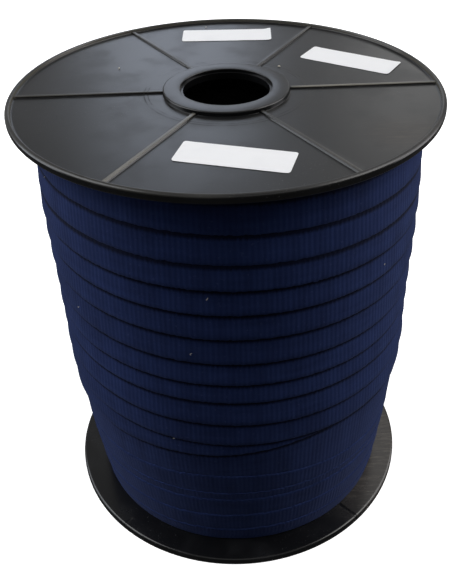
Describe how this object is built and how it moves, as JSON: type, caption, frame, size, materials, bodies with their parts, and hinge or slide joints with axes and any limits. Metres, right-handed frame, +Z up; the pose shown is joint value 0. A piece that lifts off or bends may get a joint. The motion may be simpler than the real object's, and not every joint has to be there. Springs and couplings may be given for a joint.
{
  "type": "spool of ribbed binding tape",
  "caption": "Navy ribbed binding tape wound in overlapping turns on a flanged black plastic spool with an open hub bore and blank paper stickers on its top face.",
  "frame": {"origin": "centre of the underside of the lower flange, where the spool stands", "axes": "+Z up along the spool's axis, -Y towards the viewer of the front, +X to that viewer's right"},
  "size_m": [0.2, 0.2, 0.2334],
  "materials": {
    "spool_plastic": "satin moulded black",
    "core_plastic": "matt black",
    "tape": "ribbed navy weave",
    "sticker_paper": "matt white paper"
  },
  "bodies": {
    "root": {"flange_bottom": "spool_plastic", "flange_top": "spool_plastic", "core": "core_plastic", "winding": "tape", "label_near": "sticker_paper", "label_far": "sticker_paper", "label_right": "sticker_paper"}
  },
  "joints": []
}
